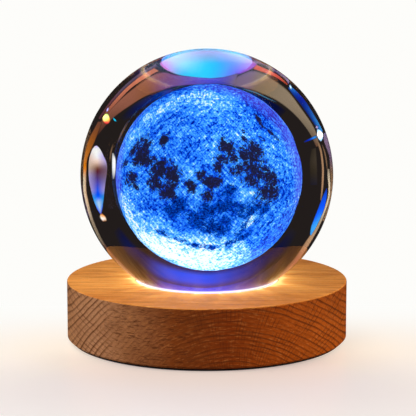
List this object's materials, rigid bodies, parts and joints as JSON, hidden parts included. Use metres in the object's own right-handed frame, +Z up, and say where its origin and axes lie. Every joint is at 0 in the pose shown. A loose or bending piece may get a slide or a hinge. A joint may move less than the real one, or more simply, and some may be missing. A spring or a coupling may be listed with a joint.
{
  "type": "moon lamp",
  "caption": "Clear glass ball with a blue-lit moon engraved inside, standing in a shallow glowing seat in a round wooden base.",
  "frame": {"origin": "centre of the underside of the anti-slip pad, on the surface that the lamp stands on", "axes": "+Z up through the ball, -Y to the front, +Y to the charging inlet and button"},
  "size_m": [0.0892, 0.0892, 0.0926],
  "materials": {
    "clear_glass": "polished",
    "engraving": "laser-made points in the glass, lit blue",
    "warm_diffuser": "translucent, matt, lit warm white",
    "frosted_window": "frosted, lit from below",
    "white_plastic": "matt",
    "warm_led": "phosphor under clear resin",
    "blue_led": "clear resin",
    "white_board": "white solder mask",
    "screw_steel": "zinc-plated",
    "beech": "oiled, satin",
    "black_rubber": "matt",
    "black_plastic": "fine moulded texture",
    "black_screw": "black oxide",
    "foam_tape": "closed-cell foam",
    "cell_foil": "laminated foil pouch",
    "cream_plastic": "nylon",
    "red_wire": "PVC insulation",
    "white_wire": "PVC insulation",
    "green_board": "green solder mask",
    "chip_black": "moulded epoxy",
    "ferrite": "sintered",
    "inlet_steel": "nickel-plated",
    "button_plastic": "satin",
    "clear_pin": "polished"
  },
  "bodies": {
    "base": {"light_window": "frosted_window", "reflector_ring": "white_plastic", "warm_leds": "warm_led", "blue_leds": "blue_led", "led_board": "white_board", "board_screws": "screw_steel", "wood_base": "beech", "anti_slip_pad": "black_rubber", "bottom_cover": "black_plastic", "cover_screws": "black_screw", "battery_pad": "foam_tape", "battery_cell": "cell_foil", "battery_connector": "cream_plastic", "battery_leads": "red_wire", "led_leads": "white_wire", "charge_board": "green_board", "charge_board_screws": "screw_steel", "charge_chip": "chip_black", "charge_coil": "ferrite", "usb_socket": "inlet_steel", "usb_tongue": "chip_black", "rear_panel": "black_plastic", "switch_body": "chip_black", "indicator_lens": "clear_pin", "indicator_led": "warm_led"},
    "seat": {"seat_ring": "warm_diffuser"},
    "ball": {"glass_ball": "clear_glass", "engraved_moon": "engraving"},
    "button": {"button_cap": "button_plastic", "switch_plunger": "cream_plastic"}
  },
  "joints": [
    {"name": "ball_turn", "type": "hinge", "parent": "base", "child": "seat", "pos_m": [0, 0, 0.0193], "axis": [0, 0, 1], "continuous": true},
    {"name": "ball_lift", "type": "slide", "parent": "seat", "child": "ball", "axis": [0, 0, 1], "range_m": [0, 0.03]},
    {"name": "button_press", "type": "slide", "parent": "base", "child": "button", "axis": [0, -1, 0], "range_m": [0, 0.0005], "stiffness_N_per_m": 1600, "springref_m": -0.0005}
  ]
}
